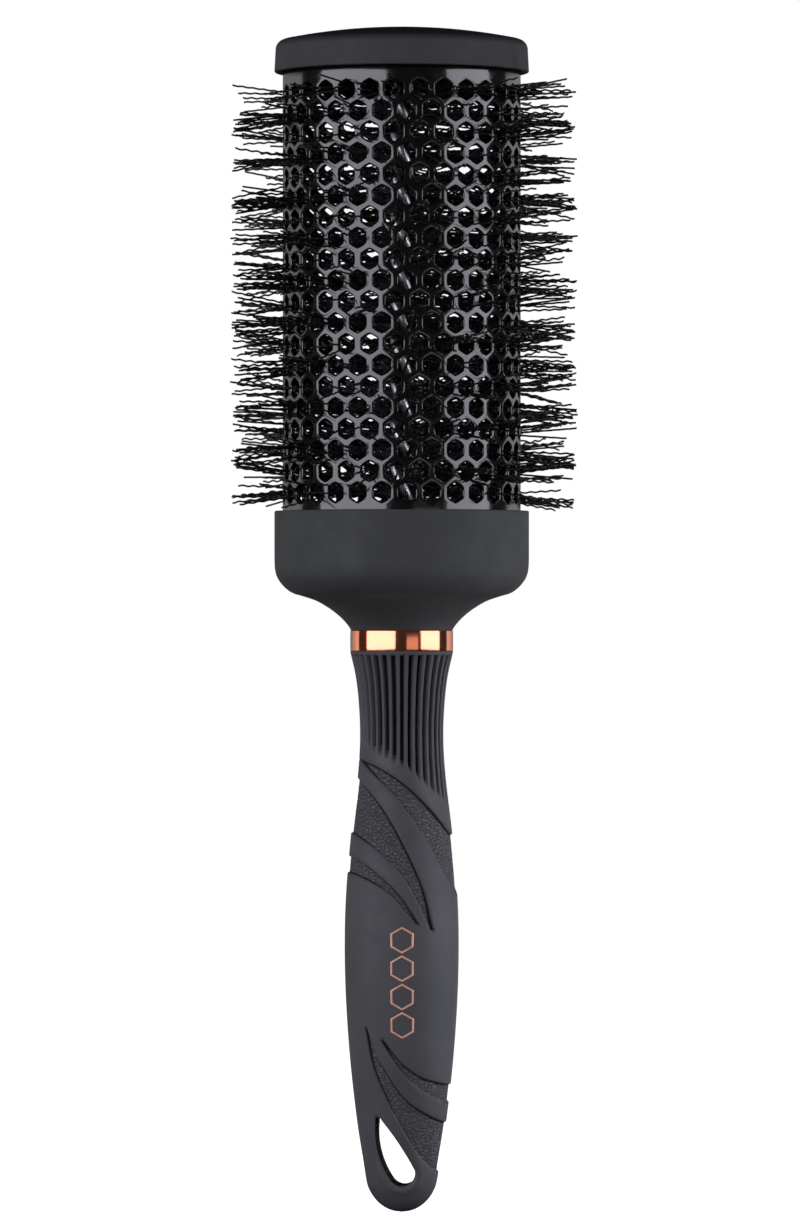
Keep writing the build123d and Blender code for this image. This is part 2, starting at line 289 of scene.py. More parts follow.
def soft_touch(name, dark, light, roughness=0.55, sheen=0.0, specular=0.4, crown_shade=None):
    """A matt elastomer or soft-touch coat: fine pebbling, faint clouding and handling marks.

    If two heights in metres are given, its colour is darkened from the first to the second: painted shade
    on a top that no lamp lights from above."""
    material, tree, shader = new_material(name)
    colour = two_tone(tree, noise(tree, 90, 4), dark, light)
    # Painted shade: the colour is scaled down with height.
    if crown_shade:
        split = add_node(tree, "ShaderNodeSeparateXYZ")
        tree.links.new(position(tree), split.inputs["Vector"])
        share = spread(tree, split.outputs["Z"], 1.0, 0.05, *crown_shade)
        darker = add_node(tree, "ShaderNodeVectorMath", operation="SCALE")
        tree.links.new(colour, darker.inputs[0])
        tree.links.new(share, darker.inputs["Scale"])
        colour = darker.outputs["Vector"]
    tree.links.new(colour, shader.inputs["Base Color"])
    rub = noise(tree, 260, 5, 0.6)
    tree.links.new(spread(tree, rub, roughness - 0.05, roughness + 0.06), shader.inputs["Roughness"])
    set_sockets(shader, {"Specular IOR Level": specular, "Sheen Weight": sheen, "Sheen Roughness": 0.5})
    add_bump(tree, shader, noise(tree, 7000, 2), 0.25, 0.00004)
    return material


def leather_grain():
    """The grained core in the windows: pebbles and creases over the moulded relief."""
    material, tree, shader = new_material("leather_grain")
    place = position(tree)
    cells = add_node(tree, "ShaderNodeTexVoronoi", feature="DISTANCE_TO_EDGE", Scale=900.0)
    squash = add_node(tree, "ShaderNodeMapping", Scale=(1, 1, 1.5))
    warp = add_node(tree, "ShaderNodeTexNoise", Scale=700.0, Detail=2.0)
    scaled = add_node(tree, "ShaderNodeVectorMath", operation="SCALE", Scale=0.0009)
    shifted = add_node(tree, "ShaderNodeVectorMath", operation="ADD")
    tree.links.new(place, warp.inputs["Vector"])
    tree.links.new(warp.outputs["Color"], scaled.inputs[0])
    tree.links.new(place, shifted.inputs[0])
    tree.links.new(scaled.outputs["Vector"], shifted.inputs[1])
    tree.links.new(shifted.outputs["Vector"], squash.inputs["Vector"])
    tree.links.new(squash.outputs["Vector"], cells.inputs["Vector"])
    pebble = spread(tree, cells.outputs["Distance"], 0.0, 1.0, 0.0, 0.2)
    # Painted shade: the creases are coloured darker than the pebbles, on top of the bump's own shading.
    colour = two_tone(tree, pebble, (0.069, 0.068, 0.074), (0.104, 0.102, 0.111))
    tree.links.new(colour, shader.inputs["Base Color"])
    tree.links.new(spread(tree, noise(tree, 900, 4), 0.5, 0.66), shader.inputs["Roughness"])
    set_sockets(shader, {"Specular IOR Level": 0.4})
    add_bump(tree, shader, pebble, 0.9, 0.0002)
    return material


def black_lacquer():
    """Gloss black lacquer on the barrel, with faint orange peel and uneven gloss."""
    material, tree, shader = new_material("black_lacquer")
    colour = two_tone(tree, noise(tree, 400, 4), (0.0015, 0.0015, 0.002), (0.003, 0.003, 0.0035))
    tree.links.new(colour, shader.inputs["Base Color"])
    tree.links.new(spread(tree, noise(tree, 700, 5, 0.65), 0.1, 0.2), shader.inputs["Roughness"])
    set_sockets(shader, {"Specular IOR Level": 0.5, "Coat Weight": 0.6, "Coat Roughness": 0.06})
    add_bump(tree, shader, noise(tree, 900, 2), 0.12, 0.00004)
    return material


def nylon(name, dark, light, roughness):
    """Drawn nylon, a little uneven in gloss and surface."""
    material, tree, shader = new_material(name)
    tree.links.new(two_tone(tree, noise(tree, 1800, 3), dark, light), shader.inputs["Base Color"])
    set_sockets(shader, {"Specular IOR Level": 0.65})
    low, high = roughness - 0.06, roughness + 0.1
    tree.links.new(spread(tree, noise(tree, 5000, 2), low, high), shader.inputs["Roughness"])
    add_bump(tree, shader, noise(tree, 9000, 2), 0.15, 0.00002)
    return material


def metal(name, dark, light, roughness, stretch, bump=0.1, metallic=1.0):
    """A metal with fine drawn or turned lines: stretch squeezes the noise along the lines."""
    material, tree, shader = new_material(name)
    set_sockets(shader, {"Metallic": metallic})
    lines = noise(tree, 3000, 3, 0.6, stretch)
    tree.links.new(two_tone(tree, noise(tree, 300, 3), dark, light), shader.inputs["Base Color"])
    low, high = roughness * 0.7, roughness * 1.4
    tree.links.new(spread(tree, lines, low, high), shader.inputs["Roughness"])
    add_bump(tree, shader, lines, bump, 0.00002)
    return material


def clear_coat(material, ior):
    """A clear lacquer over a plated metal, so that its highlights are nearly white."""
    sockets = {"Coat Weight": 0.9, "Coat Roughness": 0.08, "Coat IOR": ior}
    sockets["Specular Tint"] = (1.0, 0.8, 0.6, 1.0)
    set_sockets(material.node_tree.nodes["Principled BSDF"], sockets)


def floor_paper():
    """White paper, a little lighter away from the brush so that it meets the backdrop."""
    material, tree, shader = new_material("floor_paper")
    colour = two_tone(tree, noise(tree, 3, 3), (0.9, 0.9, 0.9), (0.93, 0.93, 0.93))
    tree.links.new(colour, shader.inputs["Base Color"])
    set_sockets(shader, {"Roughness": 0.9, "Emission Color": (1, 1, 1, 1)})
    away = add_node(tree, "ShaderNodeVectorMath", operation="LENGTH")
    tree.links.new(position(tree), away.inputs[0])
    glow = spread(tree, away.outputs["Value"], 0.9, 1.0, 0.01, 0.12)
    tree.links.new(glow, shader.inputs["Emission Strength"])
    return material


# Painted shade on the cap: its colour falls to a twentieth over the shoulder and stays so on the dome.
crown_shade = ((cap_edge_z - 2.0) * MM, (cap_edge_z + 0.2) * MM)
cap_coat = soft_touch(
    "cap_soft_touch", (0.052, 0.051, 0.055), (0.063, 0.061, 0.067), 0.68, specular=0.2, crown_shade=crown_shade
)
collar_coat = soft_touch("collar_soft_touch", (0.049, 0.049, 0.049), (0.06, 0.06, 0.061), 0.7, 0.04)
grip_coat = soft_touch("grip_soft_touch", (0.074, 0.073, 0.08), (0.091, 0.089, 0.097), 0.58)
gap_shadow = soft_touch("gap_shadow", (0.002, 0.002, 0.002), (0.004, 0.004, 0.004), 0.8)
# Painted shade for the eye's inner wall and the floors of the deepest grooves.
recess_shade = soft_touch("recess_shade", (0.008, 0.008, 0.008), (0.014, 0.014, 0.013), 0.75)
plug_plastic = soft_touch("plug_plastic", (0.015, 0.015, 0.016), (0.022, 0.022, 0.023), 0.4)
grain = leather_grain()
lacquer = black_lacquer()
bristle_nylon = nylon("bristle_nylon", (0.003, 0.003, 0.003), (0.009, 0.009, 0.008), 0.24)
# The cut ends' coat is lighter than the filaments': a painted glint on their flat faces.
cut_end_glint = nylon("cut_end_glint", (0.04, 0.04, 0.04), (0.09, 0.09, 0.09), 0.45)
core_steel = metal("core_steel", (0.6, 0.6, 0.62), (0.8, 0.8, 0.82), 0.27, (1, 1, 0.1))
stem_steel = metal("stem_steel", (0.45, 0.45, 0.45), (0.6, 0.6, 0.6), 0.25, (1, 1, 8))
copper = metal("copper_plate", (0.92, 0.23, 0.09), (0.96, 0.26, 0.11), 0.1, (0.2, 0.2, 12), 0.04)
clear_coat(copper, 1.9)
foil = metal("copper_foil", (0.9, 0.4, 0.28), (0.98, 0.55, 0.43), 0.45, (1, 1, 1), 0.3, 0.35)


# ---- Barrel ---------------------------------------------------------------------------------
def divide_sides(corners, side_steps):
    """Points round a closed outline, with the same number of steps on each side."""
    points = []
    for start, end in zip(corners, np.roll(corners, -1, axis=0)):
        points += [start + (end - start) * step / side_steps for step in range(side_steps)]
    return np.array(points)


def hexagon(across_flats, side_steps, corner_cut=0.0):
    """Points round a hexagon that stands on a corner, from its right-hand lower corner up."""
    corner_radius = across_flats / math.sqrt(3)
    turns = np.radians(-30 + 60 * np.arange(6))
    corners = corner_radius * np.stack([np.cos(turns), np.sin(turns)], -1)
    points = divide_sides(corners, side_steps)
    reach = np.linalg.norm(points, axis=1)[:, None]
    return points * (1 - corner_cut * (reach / corner_radius) ** 8)


def hole_turn(row, column):
    """The direction of a hole, in degrees from +X."""
    pitch = 360 / holes_per_row
    return hole_phase + (column + 0.5 * (row % 2)) * pitch - 90


def cell_sizes():
    """Half width of a hole's cell, and the heights of its shoulders and its peak."""
    half = math.pi * barrel_radius / holes_per_row
    shoulder = (hole_row_step**2 - half**2) / (2 * hole_row_step)
    return half, shoulder, hole_row_step - shoulder


def cell_outline(side_steps):
    """The six-sided cell round one hole; cells share their edges with their neighbours."""
    half, shoulder, peak = cell_sizes()
    corners = [(half, -shoulder), (half, shoulder), (0, peak)]
    corners += [(-half, shoulder), (-half, -shoulder), (0, -peak)]
    return divide_sides(np.array(corners), side_steps)


def wrap_on_barrel(flat, depth, turn, height):
    """Lays flat points (across, up) on the tube, at a depth below its outer surface."""
    angle = np.radians(turn) + flat[:, 0] / barrel_radius
    radius = barrel_radius - depth
    return np.stack([radius * np.cos(angle), radius * np.sin(angle), height + flat[:, 1]], -1)


def make_barrel():
    """The perforated tube: a ring of quads round every hole, with softly rounded rims."""
    side_steps = 3
    cell = cell_outline(side_steps)
    layers = [(cell, 0.0)]
    for turn in (0, 30, 60, 90):
        grow = rim_round * (1 - math.sin(math.radians(turn)))
        drop = rim_round * (1 - math.cos(math.radians(turn)))
        layers.append((hexagon(hole_flats + 2 * grow, side_steps, 0.06), drop))
    layers.append((hexagon(hole_flats, side_steps, 0.06), barrel_wall - 0.1))
    layers.append((hexagon(hole_flats + 0.2, side_steps, 0.06), barrel_wall))
    layers.append((cell, barrel_wall))
    points, faces = [], []
    for row in range(hole_rows):
        for column in range(holes_per_row):
            faces += ring_faces(len(layers), len(cell), len(points) * len(cell))
            turn, height = hole_turn(row, column), top_row_z - row * hole_row_step
            points += [wrap_on_barrel(flat, depth, turn, height) for flat, depth in layers]
    points, faces = add_tube_ends(np.concatenate(points), faces, side_steps)
    piece = build_mesh("barrel_tube", points, faces, [lacquer])
    clean_mesh(piece, merge=True)
    return finish_piece(piece, "black_lacquer", "barrel")


def add_tube_ends(points, faces, side_steps):
    """The plain bands above the top row and below the bottom row, and the tube's two ends."""
    half, shoulder, peak = cell_sizes()
    across = np.linspace(-half, half, 2 * side_steps + 1)[:-1]
    zigzag = shoulder + (peak - shoulder) * (1 - np.abs(across) / half)
    columns = np.arange(holes_per_row)[:, None]
    for row, up, end_z in ((0, 1, barrel_high[2]), (hole_rows - 1, -1, barrel_low[2])):
        row_z = top_row_z - row * hole_row_step
        turns = (np.radians(hole_turn(row, columns)) + across / barrel_radius).ravel()
        edge_z = row_z + up * np.tile(zigzag, holes_per_row)
        plain_z = row_z + up * (peak + 0.15)
        outside = [(0, edge_z), (0, plain_z), (0, end_z)]
        inside = [(barrel_wall, height) for _, height in outside[::-1]]
        first = len(points)
        for depth, height in outside + inside:
            radius = barrel_radius - depth
            flat = [radius * np.cos(turns), radius * np.sin(turns), np.broadcast_to(height, turns.shape)]
            points = np.vstack([points, np.stack(flat, -1)])
        quads = ring_faces(len(outside + inside), len(turns), first)
        faces += [quad if up > 0 else quad[::-1] for quad in quads]
    return points, faces


# ---- Bristles -------------------------------------------------------------------------------
def core_turn(height):
    """The direction of the gap between the core's wires, in radians from +X."""
    return math.radians(wire_start_turn + 90 - 360 * (height - core_low[2]) / wire_pitch)


def choose_hole(turn, height):
    """The hole that a filament reaches from a direction and height at the core."""
    pitch = 2 * math.pi / holes_per_row
    best = None
    middle_row = round((top_row_z - height) / hole_row_step)
    for row in range(middle_row - 1, middle_row + 2):
        if 0 <= row < hole_rows:
            start = math.radians(hole_turn(row, 0))
            column = round((turn - start) / pitch)
            hole = start + column * pitch
            rise = top_row_z - row * hole_row_step
            distance = math.hypot((hole - turn) * barrel_radius, rise - height)
            if best is None or distance < best[0]:
                best = (distance, hole, rise, (row, column % holes_per_row))
    return best[1:]


# Each hole's tuft: where it bunches in the hole (across, up), and how it leans (up, across).
tufts = rng.normal(0, 1, (hole_rows, holes_per_row, 4))


def half_filament(turn, height):
    """Centreline of one half: from the core out through a hole, and on to its cut end."""
    aim_turn = turn + rng.normal(0, aim_noise[0])
    aim_height = height + rng.normal(0, aim_noise[1])
    hole, rise, place = choose_hole(aim_turn, aim_height)
    tuft = tufts[place]
    spot = 0.5 * tuft[:2] + rng.normal(0, hole_noise, 2)
    spot *= min(1, hole_reach / np.linalg.norm(spot))
    exit_turn = hole + spot[0] / barrel_radius
    exit_height = rise + spot[1]
    reach = bristle_radius - abs(rng.normal(0, 0.9)) - 0.25
    reach += right_trim * max(math.cos(exit_turn), 0)
    if rng.uniform() < 0.06:
        reach -= rng.uniform(1, 6)
    clear_of_cap = (top_row_z + 3.0 - exit_height) / 13
    lean = (exit_height - height) / barrel_radius + 0.035 * tuft[2] + rng.normal(0, 0.08)
    lean = max(-steepest_lean, min(lean, steepest_lean, clear_of_cap))
    sway = 0.015 * tuft[3] + rng.normal(0, 0.04)
    distance = np.linspace(0, reach, int(reach / crimp_length * 5))
    outside = np.maximum(distance - barrel_radius, 0)
    z = height + (exit_height - height) * np.minimum(distance / barrel_radius, 1) + lean * outside
    direction = np.array([math.cos(exit_turn), math.sin(exit_turn)])
    sideways = np.array([-direction[1], direction[0]])
    flat = direction * distance[:, None] + sideways * (sway * outside)[:, None]
    return np.column_stack([flat, z]), sideways


def filament_tube(height):
    """One crimped filament, gripped at its middle: its points and faces, the cut ends last."""
    turn = core_turn(height)
    near, near_side = half_filament(turn, height)
    far, far_side = half_filament(turn + math.pi, height)
    line = np.vstack([far[:0:-1], near])
    side = np.vstack([np.tile(-far_side, (len(far) - 1, 1)), np.tile(near_side, (len(near), 1))])
    side = np.column_stack([side, np.zeros(len(side))])
    up = np.array([0.0, 0.0, 1.0])
    run = np.concatenate([[0], np.cumsum(np.linalg.norm(np.diff(line, axis=0), axis=1))])
    plane = rng.uniform(0, math.pi)
    depth = rng.uniform(*crimp_depth)
    wave = np.sin(2 * math.pi * run / crimp_length + rng.uniform(0, 6.28)) * depth
    line = line + wave[:, None] * (math.cos(plane) * side + math.sin(plane) * up)
    sides = 5
    turns = np.arange(sides) * 2 * math.pi / sides
    circle = np.cos(turns)[None, :, None] * side[:, None, :] + np.sin(turns)[None, :, None] * up
    points = (line[:, None, :] + filament_radius * circle).reshape(-1, 3)
    return points, tube_faces(len(line), sides)


def make_bristles():
    """The filaments, shared out among the CAD's bundles by height."""
    middles = np.array([(node_box(name)[0][2] + node_box(name)[1][2]) / 2 for name in bundle_names])
    top, bottom = top_row_z + 4.0, top_row_z - (hole_rows - 1) * hole_row_step - 1.1
    heights = np.linspace(top, bottom, filament_count) + rng.normal(0, 0.1, filament_count)
    bundles = {name: [] for name in bundle_names}
    for height in heights:
        nearest = int(np.argmin(np.abs(height - middles)))
        bundles[bundle_names[nearest]].append(filament_tube(height))
    for name, tubes in bundles.items():
        points, faces = join_parts(tubes)
        ends = []
        for _, faces_of_one in tubes:
            ends += [0] * (len(faces_of_one) - 2) + [1, 1]
        piece = build_mesh(f"crimped_{name}", points, faces, [bristle_nylon, cut_end_glint], ends)
        finish_piece(piece, "nylon", name)


# ---- End cap, collar and trim ring ----------------------------------------------------------
def make_cap():
    """The domed cap: slight draft on its skirt, a soft shoulder and a rolled lower lip."""
    skirt_z, apex_z = cap_low[2], cap_high[2]
    corner, lip = 2.2, 0.35
    dome_edge = cap_top_radius - corner + 0.15
    rise = apex_z - cap_edge_z
    dome_radius = (dome_edge**2 + rise**2) / (2 * rise)
    edge_turn = math.degrees(math.acos(dome_edge / dome_radius))
    profile = [(socket_radius, skirt_z + lip)]
    profile += rounded((socket_radius + lip, skirt_z + lip), lip, 180, 270, 4)
    profile += rounded((cap_radius - lip, skirt_z + lip), lip, 270, 360, 6)
    profile += rounded((cap_top_radius - corner, cap_edge_z - corner), corner, 2, 84, 12)
    profile += rounded((0, apex_z - dome_radius), dome_radius, edge_turn, 89.9999, 24)
    profile += [(0.0001, cap_ceiling_z), (socket_radius, cap_ceiling_z)]
    return finish_piece(lathe("cap_shell", profile, cap_coat), "cap_soft_touch", "end_cap")


def make_collar():
    """The collar: a straight cup, a rounded corner, a crease, and a flare down to the ring."""
    rim_z, waist_z, foot_z = collar_high[2], ring_high[2], collar_low[2]
    floor_z = rim_z - socket_depth
    lip = 0.3
    corner = [(28.35, 145.6), (28.28, 143.6), (27.97, 141.9), (27.38, 140.65)]
    corner += [(26.32, 139.3), (25.1, 138.25), (24.35, 137.8)]
    crease = (24.12, 137.78)
    flare = [(24.0, 137.62), (21.6, 136.95), (18.86, 135.97), (16.46, 134.6), (14.67, 133.3)]
    flare += [(13.18, 131.97), (11.98, 130.6), (waist_radius, waist_z + 0.2)]
    profile = [(socket_radius, floor_z)]
    profile += rounded((socket_radius + lip, rim_z - lip), lip, 180, 90, 4)
    profile += rounded((collar_radius - lip, rim_z - lip), lip, 90, 0, 6)
    profile += [*smooth_line(corner), crease, *smooth_line(flare)]
    profile += [(waist_radius - 0.1, waist_z), (spigot_radius, waist_z), (spigot_radius, foot_z)]
    profile += [(stem_socket_radius, foot_z), (stem_socket_radius, floor_z)]
    return finish_piece(lathe("collar_shell", profile, collar_coat), "collar_soft_touch", "collar_cup")


def make_ring():
    """The copper ring: polished, its two edges broken and its face very slightly crowned."""
    low, high = ring_low[2], ring_high[2]
    edge, bulge = 0.16, 0.04
    bore = spigot_radius + 0.06
    face_height = high - low - 2 * edge
    profile = [(bore, low)]
    profile += rounded((ring_radius - edge - bulge, low + edge), edge, 270, 350, 5)
    profile += [
        (ring_radius - bulge * (2 * t - 1) ** 2, low + edge + t * face_height)
        for t in np.linspace(0, 1, 9)
    ]
    profile += rounded((ring_radius - edge - bulge, high - edge), edge, 10, 90, 5)
    profile += [(bore, high)]
    return finish_piece(lathe("polished_ring", profile, copper), "copper_plate", "trim_ring")


# ---- Handle ---------------------------------------------------------------------------------
# Height, half width (X) and half depth (Y) down the handle, from its rounded end to its top.
end_rise, end_half_width, end_half_depth = 9.0, 8.1, 5.5      # its rounded end, half an ellipse
end_turns = [math.radians(15 * k) for k in range(6)]
handle_knots = [
    (end_rise * (1 - math.cos(t)), end_half_width * math.sin(t), end_half_depth * math.sin(t))
    for t in end_turns
]
handle_knots += [
    (11.6, 8.6, 6.0),
    (20.5, 10.0, 7.3),
    (33.9, 11.5, 9.3),
    (47.3, 12.43, 10.5),
    (59.5, 12.72, 10.9),
    (71.0, 12.4, 10.75),
    (84.1, 11.3, 10.3),
    (96.4, 9.85, 9.7),
    (105.0, 9.28, 9.28),
    (112.5, 9.5, 9.5),
    (119.0, 10.2, 10.2),
    (handle_top, 11.5, 11.5),
]
side = 14.0                     # beyond the handle's side


# The windows' edges as (x, z) points, from each window's tip out past the handle's side.  With
# each edge goes the stretch where a painted shadow shows in the gap beside it, as shares of the way
# from the tip to the side, and the shadow's width.
windows = [
    (
        [(-9.3, 100.9), (-4.2, 98.8), (0.3, 96.1), (3.8, 93.2), (7.6, 89.1), (11.3, 84.0), (side, 80.0)],
        (0.1, 1.0, 0.32),
        [(-9.3, 100.9), (-6.3, 98.0), (-1.7, 93.9), (3.3, 87.6), (7.3, 81.4), (10.1, 75.6), (side, 67.6)],
        (0.0, 0.22, 0.2),
    ),
    (
        [(7.8, 63.2), (5.8, 71.6), (2.9, 78.6), (-1.3, 86.4), (-4.7, 91.3), (-9.4, 96.2), (-side, 100.0)],
        (0.0, 0.85, 0.36),
        [(7.2, 63.35), (5.3, 67.6), (1.9, 73.9), (-1.3, 77.6), (-6.2, 81.8), (-side, 86.0)],
        (0.72, 1.0, 0.24),
    ),
    (
        [(4.65, 64.4), (0.8, 70.2), (-3.7, 74.6), (-8.9, 78.2), (-side, 79.8)],
        (0.0, 0.8, 0.18),
        [(3.95, 64.5), (1.8, 67.1), (-2.0, 71.3), (-8.2, 74.6), (-side, 76.2)],
        (0.45, 1.0, 0.24),
    ),
    (
        [(-7.1, 40.9), (-5.5, 36.1), (-3.6, 32.6), (1.3, 25.6), (7.5, 21.2), (side, 18.4)],
        (0.25, 1.0, 0.2),
        [(-7.45, 40.8), (-5.7, 32.5), (-2.8, 25.6), (0.5, 19.2), (4.15, 13.3), (8.05, 9.3), (side, 7.2)],
        (0.0, 0.45, 0.22),
    ),
    (
        [(-3.4, 38.7), (0.0, 34.3), (2.8, 31.8), (5.7, 30.0), (10.7, 28.5), (side, 28.3)],
        (0.0, 1.0, 0.22),
        [(-3.85, 38.5), (0.95, 31.2), (3.7, 28.6), (6.6, 26.5), (10.5, 24.8), (side, 24.2)],
        (0.0, 0.3, 0.15),
    ),
]
window_outlines = [
    np.vstack([smooth_line(upper), smooth_line(lower)[::-1]]) for upper, _, lower, _ in windows
]


def arc_points(start, middle, end, steps=14):
    """Points on the arc through three points."""
    a, b, c = (complex(*point) for point in (start, middle, end))
    w = (c - a) / (b - a)
    centre = a + (b - a) * (w - abs(w) ** 2) / (2j * w.imag)
    radius = abs(a - centre)
    turns = np.unwrap(np.angle(np.array([a, b, c]) - centre))
    turns = np.linspace(turns[0], turns[2], steps, endpoint=False)
    return np.stack([centre.real + radius * np.cos(turns), centre.imag + radius * np.sin(turns)], -1)


eye_outline = np.vstack(
    [
        arc_points((3.3, 9.52), (0.35, 6.0), (-2.19, 7.41), 24),
        arc_points((-2.19, 7.41), (-4.75, 13.0), (-5.3, 20.3)),
        arc_points((-5.3, 20.3), (-4.85, 21.4), (-4.0, 20.8), 8),
        arc_points((-4.0, 20.8), (0.15, 15.1), (3.3, 9.52)),
    ]
)


def inside_distance(x, z, outline):
    """Distance to a closed outline, positive inside it, and the nearest point on it."""
    start, end = outline, np.roll(outline, -1, axis=0)
    keep = np.linalg.norm(end - start, axis=1) > 1e-9
    start, end = start[keep], end[keep]
    run = end - start
    to_x, to_z = x[:, None] - start[None, :, 0], z[:, None] - start[None, :, 1]
    share = np.clip((to_x * run[:, 0] + to_z * run[:, 1]) / (run**2).sum(1), 0, 1)
    gap_x, gap_z = to_x - share * run[:, 0], to_z - share * run[:, 1]
    gap = np.hypot(gap_x, gap_z)
    nearest = gap.argmin(1)
    row = np.arange(len(x))
    spot = np.stack([x - gap_x[row, nearest], z - gap_z[row, nearest]], -1)
    crosses = (start[:, 1] > z[:, None]) != (end[:, 1] > z[:, None])
    rise = np.where(run[:, 1] == 0, 1e-12, run[:, 1])
    hit = crosses & (x[:, None] < start[:, 0] + to_z * run[:, 0] / rise)
    inside = hit.sum(1) % 2 == 1
    return np.where(inside, 1, -1) * gap[row, nearest], spot


def row_spacing(height, fine_step):
    """How far apart the handle mesh's rings are: fine where its relief is."""
    fine = ((height > 61) & (height < 103)) | ((height > 5) & (height < 42))
    near_top = height > flute_top - 0.5
    near_end = height < 5
    plain = np.where(height > 103, 1.3, 1.1)
    return np.where(fine, fine_step, np.where(near_top, 0.15, np.where(near_end, 0.35, plain)))


handle_line = np.maximum(smooth_line(handle_knots, 40), 0)


def handle_rings(fine_step):
    """Height, half width and half depth of each ring, from the bottom up."""
    line = handle_line
    step = np.linalg.norm(np.diff(line[:, :2], axis=0), axis=1)
    spacing = row_spacing((line[1:, 0] + line[:-1, 0]) / 2, fine_step)
    cost = np.concatenate([[0], np.cumsum(step / spacing)])
    wanted = np.linspace(0.6, cost[-1], int(cost[-1]))
    return np.stack([np.interp(wanted, cost, line[:, k]) for k in range(3)], -1)


def flute_end(x):
    """The slanted line along which the flutes fade out, at a distance across."""
    return 99.1 - 0.62 * x - 0.022 * x**2


def flutes(turn, x, z):
    """Depth of the fine grooves round the neck."""
    wave = np.cos(flute_count * (turn + math.pi / 2 - math.radians(flute_phase)))
    groove = smoothstep(-0.3, 0.3, wave)
    end = flute_end(x)
    fade = smoothstep(end, end + 3.4, z) * (1 - smoothstep(flute_top - 0.1, flute_top + 0.15, z))
    rim = 0.12 * smoothstep(handle_top - 0.16, handle_top, z)
    return flute_depth * groove * fade + rim


def pebbles(x, z, size):
    """A leather-like relief from 0 in the creases to 1 on the pebbles (distance to cell walls)."""
    grid = np.random.default_rng(11).uniform(0.1, 0.9, (64, 64, 2))
    u, v = x / size, z / size * 0.9
    nearest = np.full(x.shape, 9.0)
    second = nearest.copy()
    for shift_u in (-1, 0, 1):
        for shift_v in (-1, 0, 1):
            cell_u, cell_v = np.floor(u) + shift_u, np.floor(v) + shift_v
            jitter = grid[cell_u.astype(int) % 64, cell_v.astype(int) % 64]
            gap = np.hypot(cell_u + jitter[..., 0] - u, cell_v + jitter[..., 1] - v)
            second = np.minimum(second, np.maximum(nearest, gap))
            nearest = np.minimum(nearest, gap)
    return smoothstep(0.0, 0.35, second - nearest)


def handle_mesh(name, materials, columns, fine_step, shape_depth, eye_grow, top_z):
    """A closed skin of rings about the handle, sunk by shape_depth, with the eye cut through.

    Rings are symmetric front to back, so the eye's front edge joins the back's point by point."""
    rings = handle_rings(fine_step)
    rings = rings[rings[:, 0] < top_z - 0.1]
    top_ring = [np.interp(top_z, handle_line[:, 0], handle_line[:, k]) for k in range(3)]
    rings = np.vstack([rings, top_ring])
    turn = np.arange(columns) * 2 * math.pi / columns
    z, half_width, half_depth = (np.repeat(rings[:, k], columns) for k in range(3))
    t = np.tile(turn, len(rings))
    normal = np.stack([half_depth * np.cos(t), half_width * np.sin(t)], -1)
    normal /= np.linalg.norm(normal, axis=1)[:, None]
    flat = np.stack([half_width * np.cos(t), half_depth * np.sin(t)], -1)
    eye_inside, spot = inside_distance(flat[:, 0], z, eye_outline)
    eye_inside += eye_grow
    place = SimpleNamespace(turn=t, x=flat[:, 0], z=z, around=half_width * t, eye_gap=-eye_inside)
    sunk = shape_depth(place)
    points = np.column_stack([flat - normal * sunk[:, None], z])
    quads = np.array(ring_faces(len(rings), columns))
    cut = eye_inside > 0
    kept = quads[~cut[quads].any(1)]
    dropped = quads[cut[quads].any(1)]
    edge_points = np.intersect1d(kept.ravel(), dropped.ravel())
    points[edge_points, 0] = spot[edge_points, 0]
    points[edge_points, 2] = spot[edge_points, 1]
    points, wall, marks = eye_wall(points, kept, set(edge_points.tolist()), columns)
    faces = kept.tolist() + wall + tube_faces(len(rings), columns)[-2:]
    # Faces deeper than dark_depth take the second material, which on the grip is a painted shade.
    deep = sunk[kept].mean(1) > dark_depth
    marks = deep.astype(int).tolist() + marks + [0, 0]
    piece = build_mesh(name, points, faces, materials, marks)
    clean_mesh(piece)
    return piece


def eye_wall(points, kept, edge_points, columns):
    """Joins the eye's front edge to its back edge; the wall's front part is marked 1, for the
    painted-shade coat.
    """
    uses = {}
    for face in kept.tolist():
        for start, end in zip(face, face[1:] + face[:1]):
            if start in edge_points and end in edge_points:
                key = (min(start, end), max(start, end))
                uses[key] = uses.get(key, 0) + 1
    rim = [edge for edge, count in uses.items() if count == 1 and points[edge[0], 1] < 0]
    steps, shaded_steps = 8, 6
    columns_of = {}
    extra = []
    for vertex in sorted({v for edge in rim for v in edge}):
        row, column = divmod(vertex, columns)
        back = row * columns + (columns - column) % columns
        chain = [vertex]
        for step in range(1, steps):
            chain.append(len(points) + len(extra))
            extra.append(points[vertex] + (points[back] - points[vertex]) * step / steps)
        columns_of[vertex] = chain + [back]
    wall, marks = [], []
    for start, end in rim:
        a, b = columns_of[start], columns_of[end]
        wall += [[a[k], b[k], b[k + 1], a[k + 1]] for k in range(steps)]
        marks += [1] * shaded_steps + [0] * (steps - shaded_steps)
    return np.vstack([points, *extra]), wall, marks


def grip_depth(place):
    """How far the grip's surface lies below the plain handle form."""
    depth = flutes(place.turn, place.x, place.z)
    for outline in window_outlines:
        inside, _ = inside_distance(place.x, place.z, outline)
        depth = np.maximum(depth, (skin + 0.6) * smoothstep(-0.2, -0.04, inside))
    low = 1 - smoothstep(8, 14, place.z)
    lip = 0.3 + 0.5 * low
    near = np.clip(lip - place.eye_gap, 0, lip)
    roll = lip - np.sqrt(lip**2 - near**2)
    bead = 0.2 * low * np.exp(-(((place.eye_gap - 1.3) / 0.7) ** 2))
    return depth + roll - bead


def core_depth(place):
    """How far the core's surface lies below that form: deeper where the grip has flutes."""
    relief = pebbles(place.around, place.z, 0.95)
    under_flutes = smoothstep(-0.6, 1.0, place.z - flute_end(place.x))
    return skin + 0.1 * (1 - relief) - 0.02 + under_flutes


